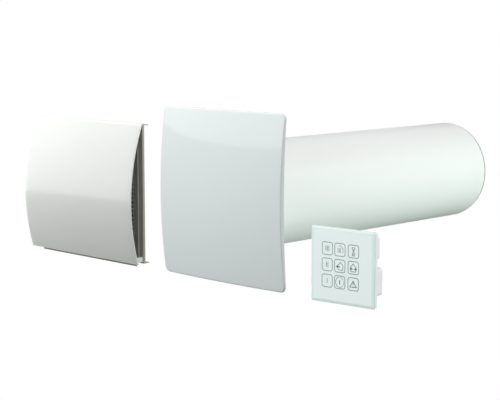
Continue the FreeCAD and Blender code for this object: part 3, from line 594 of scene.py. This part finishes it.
CONTROL_AT = Matrix.Translation(Vector((396.8, -219.6, -25.2))) @ Matrix.Rotation(math.radians(5.4), 4, "Z")
KEY_COLUMNS = (-21.5, -3.4, 15.8)
KEY_ROWS = (19.8, 0.6, -18.7)
KEY_WIDTH, KEY_HEIGHT, KEY_CORNER = 14.8, 14.9, 2.8
PRINT_DEPTH = 0.035


def glass_loop(inset, y):
    return [(x, y, z) for x, z in outline(90.0, 90.0, 2.0, inset, 8, 20)]


def control_glass():
    """The glass slab: a flat face, a wide polished bevel in front and a fine one behind."""
    rows = [
        (0, 12.0, 0.0), (0, 3.3, 0.0), (2, 2.85, 0.0), (1, 2.8, 0.01), (1, 0.12, 0.62), (1, 0.0, 0.78),
        (1, 0.0, 2.8), (1, 0.06, 2.94), (1, 0.2, 3.0),
    ]
    loops = [glass_loop(inset, y) for tag, inset, y in rows]
    mesh = skin("control_glass_slab", loops, cap_start=True, cap_end=True, tags=[tag for tag, inset, y in rows[1:]])
    mesh.transform(CONTROL_AT)
    return make_piece("control_glass_slab", mesh, ["glass_face", "glass_edge", "glass_seam"], "wall_control",
                      ["control_glass"], 20.0)


def offset_path(points, half, closed):
    """Mitred points to each side of a path in (x, z)."""
    sides = ([], [])
    count = len(points)
    for k, (x, z) in enumerate(points):
        before = points[k - 1] if closed or k > 0 else None
        after = points[(k + 1) % count] if closed or k < count - 1 else None
        runs = [(b[0] - a[0], b[1] - a[1]) for a, b in ((before, (x, z)), ((x, z), after)) if a and b]
        normals = [(-dz / math.hypot(dx, dz), dx / math.hypot(dx, dz)) for dx, dz in runs]
        nx, nz = sum(n[0] for n in normals), sum(n[1] for n in normals)
        size = math.hypot(nx, nz)
        nx, nz = nx / size, nz / size
        reach = half / max(0.35, nx * normals[0][0] + nz * normals[0][1])
        sides[0].append((x + nx * reach, z + nz * reach))
        sides[1].append((x - nx * reach, z - nz * reach))
    return sides


def printed_line(points, width, closed=False):
    """A line of print as a thin solid that stands on the glass."""
    left, right = offset_path(points, width / 2, closed)
    mesh = bpy.data.meshes.new("line")
    vertices, faces = [], []
    for (lx, lz), (rx, rz) in zip(left, right):
        vertices += [(lx, -PRINT_DEPTH, lz), (rx, -PRINT_DEPTH, rz), (rx, 0.01, rz), (lx, 0.01, lz)]
    count = len(points)
    for k in range(count if closed else count - 1):
        a, b = 4 * k, 4 * ((k + 1) % count)
        faces += [(a + i, b + i, b + (i + 1) % 4, a + (i + 1) % 4) for i in range(4)]
    if not closed:
        faces += [(3, 2, 1, 0), (4 * count - 4, 4 * count - 3, 4 * count - 2, 4 * count - 1)]
    mesh.from_pydata(vertices, [], faces)
    face_outwards(mesh)
    return mesh


def printed_shape(points):
    """A filled outline of print, convex, as a thin solid on the glass."""
    mesh = bpy.data.meshes.new("shape")
    count = len(points)
    vertices = [(x, -PRINT_DEPTH, z) for x, z in points] + [(x, 0.01, z) for x, z in points]
    faces = [tuple(range(count)), tuple(range(2 * count - 1, count - 1, -1))]
    faces += [(k, (k + 1) % count, count + (k + 1) % count, count + k) for k in range(count)]
    mesh.from_pydata(vertices, [], faces)
    face_outwards(mesh)
    return mesh


def arc_points(x, z, radius, start, end, steps):
    turns = [math.radians(start + (end - start) * k / steps) for k in range(steps + 1)]
    return [(x + radius * math.cos(turn), z + radius * math.sin(turn)) for turn in turns]


def bars(x, z, count, width=0.7, height=6.4, pitch=2.2):
    first = x - pitch * (count - 1) / 2
    return [printed_line([(first + k * pitch, z - height / 2), (first + k * pitch, z + height / 2)], width)
            for k in range(count)]


def arrow(x0, x1, z, head=2.0):
    way = 1 if x1 > x0 else -1
    neck = x1 - way * head * 1.3
    return [printed_line([(x0, z), (neck, z)], 1.1),
            printed_shape([(neck, z - head), (x1, z), (neck, z + head)])]


def house(x, z, half, gaps=()):
    """The outline of a house, left open on the sides named in gaps."""
    eaves, ridge, foot = z + 0.9, z + 4.9, z - 4.4
    roof = [(x - half - 0.8, eaves - 0.5), (x, ridge), (x + half + 0.8, eaves - 0.5)]
    lines = [printed_line(roof, 0.7)]
    for name, side in (("left", -1), ("right", 1)):
        wall = x + side * half
        if name in gaps:
            lines.append(printed_line([(wall, eaves - 0.6), (wall, eaves - 1.6)], 0.7))
            lines.append(printed_line([(wall, foot + 1.9), (wall, foot)], 0.7))
        else:
            lines.append(printed_line([(wall, eaves - 0.6), (wall, foot)], 0.7))
    lines.append(printed_line([(x - half + 0.3, foot), (x + half - 0.3, foot)], 0.7))
    return lines


def timer_mark(x, z):
    """An hourglass between two lines of dots."""
    lines = [
        printed_line([(x - 2.2, z + 4.4), (x + 2.2, z + 4.4)], 0.8),
        printed_line([(x - 2.2, z - 4.9), (x + 2.2, z - 4.9)], 0.8),
        printed_line([(x - 1.8, z + 3.7), (x - 0.3, z), (x - 1.8, z - 4.1)], 0.6),
        printed_line([(x + 1.8, z + 3.7), (x + 0.3, z), (x + 1.8, z - 4.1)], 0.6),
    ]
    for dx, dz in ((-0.7, 2.6), (0.7, 2.6), (0.0, 1.4), (-0.6, -2.7), (0.6, -2.7), (0.0, -3.5)):
        lines.append(printed_shape(arc_points(x + dx, z + dz, 0.42, 0, 300, 5)))
    return lines


def key_marks():
    """The mark inside each key, row by row."""
    (left, middle, right), (top, centre, foot) = KEY_COLUMNS, KEY_ROWS
    marks = bars(left, top, 3) + bars(left, centre, 2) + bars(left, foot, 1)
    marks += bars(middle - 0.8, top - 0.7, 3, 0.6, 5.6, 1.9)
    marks.append(printed_line(arc_points(middle - 0.6, top - 0.6, 5.2, 78, -32, 14), 0.55))
    marks.append(printed_shape([(middle - 0.6, top + 4.0), (middle - 0.6, top + 5.3), (middle + 0.9, top + 4.7)]))
    marks += timer_mark(right, top)
    marks += house(middle + 1.0, centre - 0.2, 3.4, ("left",)) + arrow(middle + 0.4, middle - 5.4, centre - 1.0)
    marks += house(right, centre - 0.2, 3.6, ("left", "right"))
    marks += arrow(right - 0.9, right - 5.2, centre - 1.4) + arrow(right + 0.9, right + 5.2, centre - 1.4)
    marks += bars(middle, foot, 1, 1.1, 5.4)
    marks.append(printed_line(arc_points(middle, foot, 5.9, 100, 300, 22), 0.6))
    marks += [printed_line(arc_points(middle, foot, 5.9, at, at + 9, 2), 0.9) for at in range(-48, 80, 20)]
    marks.append(printed_line([(right - 4.6, foot - 3.6), (right + 4.6, foot - 3.6), (right, foot + 3.6)], 0.85, True))
    marks.append(printed_line([(right, foot - 0.9), (right, foot + 1.6)], 0.8))
    marks.append(printed_shape(arc_points(right, foot - 2.2, 0.48, 0, 300, 5)))
    return marks


def control_print():
    lines = []
    for x in KEY_COLUMNS:
        for z in KEY_ROWS:
            ring = outline(KEY_WIDTH, KEY_HEIGHT, KEY_CORNER, 0.0, 8, 4)
            lines.append(printed_line([(x + dx, z + dz) for dx, dz in ring], 0.85, True))
    frames = joined("key_frames", lines)
    frames.transform(CONTROL_AT)
    make_piece("key_frames", frames, "print", "wall_control")
    marks = joined("key_marks", key_marks())
    marks.transform(CONTROL_AT)
    make_piece("key_marks", marks, "print_dark", "wall_control")


# ------------------------------------------------------------- foam pieces

def crowned_ring(outer, inner, y0, y1, bulge):
    """The (radius, y) profile of a foam ring whose free faces swell a little."""
    profile = []
    for k in range(9):
        share = k / 8
        profile.append((outer - 0.5 + bulge * math.sin(math.pi * share), y0 + (y1 - y0) * share))
    for k in range(9):
        share = k / 8
        profile.append((inner + 0.2 - 0.1 * math.sin(math.pi * share), y1 - (y1 - y0) * share))
    return profile


def foam_rings():
    seal = lathe("spigot_seal_foam", crowned_ring(76.9, 75.0, 10.0, 30.0, 0.5))
    make_piece("spigot_seal_foam", seal, "seal_foam", "indoor_unit", ["spigot_seal"], 60.0)
    rings = [lathe("ring", crowned_ring(76.9, 76.2, y, y + 8.0, 0.5)) for y in (156.0, 380.0)]
    rings = joined("cartridge_seal_foam", rings)
    rings = make_piece("cartridge_seal_foam", rings, "seal_foam", "indoor_unit", ["cartridge_seals"], 60.0)
    gasket = lathe("hood_gasket_foam", crowned_ring(91.5, 87.0, 2.6, 13.3, 0.45))
    gasket.transform(Matrix.Translation(HOOD_AT))
    make_piece("hood_gasket_foam", gasket, "seal_foam", "hood", ["hood_gasket"], 60.0)


def filter_pad(name, low, high, node):
    """A foam disc with soft edges and faces that are slightly uneven."""
    radius, middle, half, segments = 73.6, (low + high) / 2, (high - low) / 2, 144
    rings = [(radius * k / 26, half) for k in range(1, 25)]
    rings += [(radius - 1.2, half - 0.1), (radius - 0.4, half - 0.6), (radius, half - 1.8)]
    rings += [(radius - 0.2, half * 0.4), (radius - 0.3, 0.0), (radius - 0.2, -half * 0.4)]
    rings += [(radius, 1.8 - half), (radius - 0.4, 0.6 - half), (radius - 1.2, 0.1 - half)]
    rings += [(radius * k / 26, -half) for k in range(24, 0, -1)]
    loops = []
    for r, y in rings:
        loop = []
        for k in range(segments):
            turn = 2 * math.pi * k / segments
            x, z = r * math.cos(turn), r * math.sin(turn)
            wave = 0.22 * math.sin(x * 0.16 + 1.3) * math.cos(z * 0.13 + 0.4) + 0.1 * math.sin(x * 0.41 - z * 0.37)
            loop.append((x, middle + y * (1 - (abs(wave) + 0.05) / half), z))
        loops.append(loop)
    mesh = skin(name, loops, cap_start=True, cap_end=True)
    return make_piece(name, mesh, "filter_foam", "indoor_unit", [node], 60.0)


def foam_pads():
    for name, node in (("indoor_filter_pad", "indoor_filter"), ("outdoor_filter_pad", "outdoor_filter")):
        low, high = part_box(node)
        filter_pad(name, low[1] / MM, high[1] / MM, node)


make_camera()
make_materials()
front_panel()
panel_pins()
duct_tube()
hood_cover()
control_glass()
control_print()
foam_rings()
foam_pads()


# ---------------------------------------------------------- carried nodes

# Width in millimetres of the broken edges of the CAD nodes that show.
EDGE_BREAK = {
    "hood_back_plate": 0.3, "hood_drip_lip": 0.3, "hood_side_grilles": 0.2, "hood_cover_brackets": 0.25,
    "base_plate": 0.6, "base_collar": 0.5, "panel_sockets": 0.4, "control_frame": 0.3, "control_housing": 0.5,
    "electronics_lid": 0.4, "fan_housing": 0.4, "cartridge_end_grille": 0.3, "shutter_actuator": 0.4,
    "hood_spigot": 0.2, "wall_spigot": 0.3, "humidity_sensor": 0.3, "cable_grommet": 0.4,
}


WELD_GAP = 0.000004
BEVEL_FROM = math.radians(40.0)
# Nodes given a darker material than the rest of their slot: painted shade on the hood's side grilles, which sit in the
# cover's shadow.
PAINTED_SHADE_OF_NODE = {"hood_side_grilles": "grille_grey"}


def dress_nodes():
    """The material of its slot on every CAD node that is still shown, or a grey of painted shade where one is listed.
    """
    slots = {row["node"]: row["material_slot"] for row in frame["record"]["subparts"]}
    for name, node in NODES.items():
        node.data.materials.clear()
        node.data.materials.append(MATERIALS[PAINTED_SHADE_OF_NODE.get(name, slots[name])].material)
        if not node.hide_render and name in EDGE_BREAK:
            weld = node.modifiers.new("weld", "WELD")
            weld.merge_threshold = WELD_GAP
            bevel = node.modifiers.new("edges", "BEVEL")
            bevel.width = EDGE_BREAK[name] * MM
            bevel.segments = 2
            bevel.limit_method = "ANGLE"
            bevel.angle_limit = BEVEL_FROM
            bevel.use_clamp_overlap = True
            bevel.harden_normals = True


dress_nodes()


# ------------------------------------------------------------------- stage

FLOOR_GAP, FLOOR_REACH, DOME_RADIUS = 0.002, 9.0, 12.0


def emitter(name, strength, clear=False):
    """A white glow. A clear one lets what is behind it be seen as well."""
    made = bpy.data.materials.new(name)
    made.use_nodes = True
    tree = made.node_tree
    tree.nodes.clear()
    glow = tree.nodes.new("ShaderNodeEmission")
    glow.inputs["Color"].default_value = (1, 1, 1, 1)
    glow.inputs["Strength"].default_value = strength
    out = tree.nodes.new("ShaderNodeOutputMaterial")
    if clear:
        both = tree.nodes.new("ShaderNodeAddShader")
        tree.links.new(glow.outputs["Emission"], both.inputs[0])
        tree.links.new(tree.nodes.new("ShaderNodeBsdfTransparent").outputs["BSDF"], both.inputs[1])
        tree.links.new(both.outputs["Shader"], out.inputs["Surface"])
    else:
        tree.links.new(glow.outputs["Emission"], out.inputs["Surface"])
    return made


def make_stage():
    low = CAD_BOX[0].z - FLOOR_GAP
    corners = [(sx * FLOOR_REACH, sy * FLOOR_REACH, low) for sx, sy in ((-1, -1), (1, -1), (1, 1), (-1, 1))]
    mesh = bpy.data.meshes.new("floor")
    mesh.from_pydata(corners, [], [(0, 1, 2, 3)])
    floor = bpy.data.objects.new("floor", mesh)
    bpy.context.scene.collection.objects.link(floor)
    mesh.materials.append(emitter("floor_white", 1.0))
    dome_mesh = bpy.data.meshes.new("backdrop")
    work = bmesh.new()
    bmesh.ops.create_uvsphere(work, u_segments=48, v_segments=24, radius=DOME_RADIUS)
    work.to_mesh(dome_mesh)
    work.free()
    dome = bpy.data.objects.new("backdrop", dome_mesh)
    bpy.context.scene.collection.objects.link(dome)
    dome_mesh.materials.append(emitter("backdrop_white", 1.0))
    for item in (floor, dome):
        item.visible_diffuse = False
        item.visible_glossy = False
        item.visible_transmission = False
        item.visible_shadow = False


LIGHT_CENTRE = Vector((0.0, 0.1, 0.0))
WHITE = (1, 1, 1)
SOFT_BOX_SIDE = 1.0
# For each unit: azimuth and elevation in degrees, distance in metres, power in watts and colour of its soft boxes.
SOFT_BOXES = {
    "panel": (
        (-145, 0, 2.5, 9.6, WHITE), (-120, 35, 2.5, 27.6, WHITE), (-95, 35, 2.5, 10.2, WHITE),
        (25, 0, 2.5, 25.0, WHITE),
    ),
    "hood": (
        (-165, 0, 2.5, 22.0, WHITE), (-165, 35, 2.5, 9.5, WHITE), (-145, 35, 2.5, 8.0, WHITE),
        (-150, 15, 1.3, 5.6, WHITE), (-5, 0, 2.5, 32.0, WHITE),
    ),
    "duct": ((0, 35, 2.5, 8.5, WHITE), (30, -35, 2.5, 36.5, (0.88, 1, 0.93)), (30, 35, 2.5, 19.0, (1, 0.99, 0.985))),
    "control": (
        (-95, 0, 2.5, 15.5, WHITE), (-95, 35, 2.5, 17.1, WHITE), (-70, 35, 2.5, 14.2, WHITE),
        (25, 0, 2.5, 38.0, WHITE),
    ),
}
UNIT_OF_BODY = {"front_panel": "panel", "hood": "hood", "wall_control": "control"}


def unit_collections():
    """For each unit, the pieces that its own lights fall on."""
    units = {name: bpy.data.collections.new("lit_" + name) for name in SOFT_BOXES}
    for item in bpy.context.scene.objects:
        body = body_name(item)
        if body:
            units[UNIT_OF_BODY.get(body, "duct")].objects.link(item)
    return units


def body_name(item):
    for name, members in frame["record"]["behaviour"]["bodies"].items():
        if item.get("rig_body") == name or item.name in members:
            return name
    return None


def aimed(made, at, towards):
    made.location = at
    made.rotation_mode = "QUATERNION"
    made.rotation_quaternion = (Vector(towards) - Vector(at)).to_track_quat("-Z", "Y")


def soft_box(name, azimuth, elevation, reach, power, colour, unit):
    data = bpy.data.lights.new(name, "AREA")
    data.shape = "RECTANGLE"
    data.size, data.size_y = SOFT_BOX_SIDE, SOFT_BOX_SIDE
    data.energy = power
    data.color = colour
    made = bpy.data.objects.new(name, data)
    bpy.context.scene.collection.objects.link(made)
    turn, lift = math.radians(azimuth), math.radians(elevation)
    way = Vector((math.cos(turn) * math.cos(lift), math.sin(turn) * math.cos(lift), math.sin(lift)))
    aimed(made, LIGHT_CENTRE + way * reach, LIGHT_CENTRE)
    made.visible_camera = False
    made.visible_glossy = False
    made.light_linking.receiver_collection = unit
    made.light_linking.blocker_collection = unit
    return made


def reflector(name, azimuth, reach, edge, top, strength, unit):
    """A card seen only in gloss. The lower edge of a bright, see-through one draws the line on a unit's face."""
    turn = math.radians(azimuth)
    out = Vector((-math.cos(turn), -math.sin(turn), 0.0))
    side = Vector((-math.sin(turn), math.cos(turn), 0.0))
    low = [out * reach + side * (s * MM) + Vector((0, 0, z * MM)) for s, z in edge]
    high = [Vector((point.x, point.y, top)) for point in low]
    mesh = bpy.data.meshes.new(name)
    count = len(low)
    mesh.from_pydata(low + high, [], [(k, k + 1, count + k + 1, count + k) for k in range(count - 1)])
    card = bpy.data.objects.new(name, mesh)
    bpy.context.scene.collection.objects.link(card)
    mesh.materials.append(emitter(name, strength, clear=strength > 0))
    card.visible_camera = False
    card.visible_diffuse = False
    card.visible_shadow = False
    card.light_linking.receiver_collection = unit


# Lower edges of the cards, as (sideways, up) in millimetres.
PANEL_LINE = (
    (5000, 2300), (2600, 1200), (1500, 690), (900, 420), (600, 300), (311, 187), (223, 160), (101, 148),
    (-36, 144), (-138, 142), (-250, 150), (-417, 171), (-700, 215), (-1100, 290),
)
HOOD_LINE = ((1000, -160), (287, -165), (200, -165), (100, -167), (24, -170), (-600, -180))
FAR_LINE = ((1600, -1500), (520, -1500))
GLOW_LINE = ((520, -1500), (-3000, -1500))
# The world's grey at each height of the view direction, and its red below the horizon.
WORLD_RED_BELOW = 0.86
WORLD_BANDS = (
    (-1.0, 0.159), (-0.6, 0.098), (-0.25, 0.098), (0.0, 0.332), (0.25, 0.434), (0.55, 0.655), (0.85, 0.763),
    (1.0, 0.722),
)


def make_world():
    """A studio that grows brighter with height, a little green where it is dark below."""
    world = bpy.data.worlds.new("studio")
    bpy.context.scene.world = world
    world.use_nodes = True
    tree = world.node_tree
    background = tree.nodes["Background"]
    place = tree.nodes.new("ShaderNodeTexCoord")
    axes = tree.nodes.new("ShaderNodeSeparateXYZ")
    ramp = tree.nodes.new("ShaderNodeValToRGB")
    to_share = tree.nodes.new("ShaderNodeMapRange")
    to_share.inputs["From Min"].default_value = -1.0
    tree.links.new(place.outputs["Generated"], axes.inputs["Vector"])
    tree.links.new(axes.outputs["Z"], to_share.inputs["Value"])
    tree.links.new(to_share.outputs["Result"], ramp.inputs["Fac"])
    tree.links.new(ramp.outputs["Color"], background.inputs["Color"])
    stops = ramp.color_ramp.elements
    for height, grey in WORLD_BANDS:
        stop = {-1.0: stops[0], 1.0: stops[-1]}.get(height) or stops.new((height + 1) / 2)
        red = WORLD_RED_BELOW if height < 0 else 1.0
        stop.color = (grey * red, grey, grey * (1 + red) / 2, 1)
    background.inputs["Strength"].default_value = 1.0


def make_lights():
    units = unit_collections()
    for unit, boxes in SOFT_BOXES.items():
        for azimuth, elevation, reach, power, colour in boxes:
            soft_box(f"{unit}_{azimuth}_{elevation}", azimuth, elevation, reach, power, colour, units[unit])
    reflector("panel_card", 45.0, 1.5, PANEL_LINE, 6.0, 0.8, units["panel"])
    reflector("far_glow", -47.0, 2.5, GLOW_LINE, 0.6, 0.45, None)
    reflector("far_card", -47.0, 2.5, FAR_LINE, 0.2, 0.0, None)
    reflector("hood_card", 38.0, 1.5, HOOD_LINE, 6.0, 1.5, units["hood"])


make_stage()
make_world()
make_lights()
bpy.context.scene.view_settings.view_transform = "Standard"
